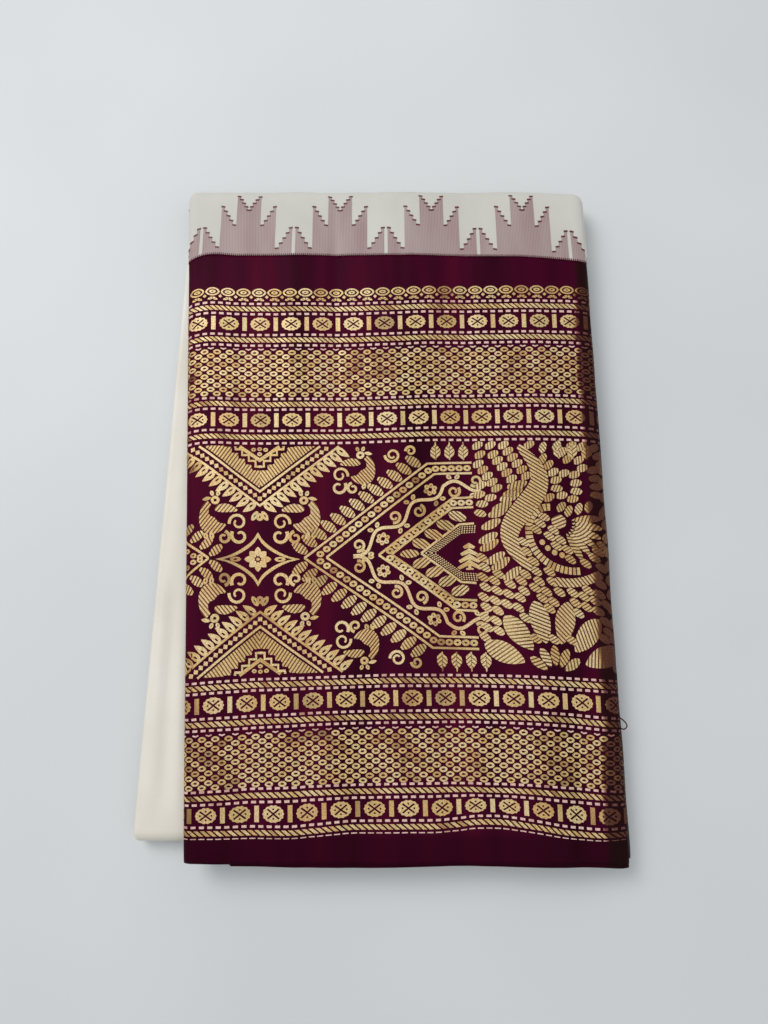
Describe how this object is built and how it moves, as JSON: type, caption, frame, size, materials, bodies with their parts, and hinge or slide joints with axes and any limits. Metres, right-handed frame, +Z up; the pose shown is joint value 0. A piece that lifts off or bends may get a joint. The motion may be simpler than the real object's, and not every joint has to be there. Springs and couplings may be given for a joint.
{
  "type": "folded saree",
  "caption": "Cream silk saree folded into a flat oblong bundle, with a deep maroon border woven in gold brocade lying on top.",
  "frame": {"origin": "middle of the part's base, on the surface it lies on", "axes": "+Z up, through the thickness; +Y from the border's hem to the top fold; +X to the right as seen from above with the hem nearest"},
  "size_m": [0.2874, 0.4128, 0.0254],
  "materials": {
    "brocade": "maroon silk closely woven with gold metal thread, satin",
    "maroon_silk": "plain maroon silk, soft sheen",
    "cream_silk": "plain cream silk, soft sheen"
  },
  "bodies": {
    "root": {"border_front": "brocade", "border_second": "maroon_silk", "border_layers": "maroon_silk", "temple_fold": "cream_silk", "underside_body": "cream_silk", "tucked_body": "cream_silk", "body_layers": "cream_silk"}
  },
  "joints": []
}
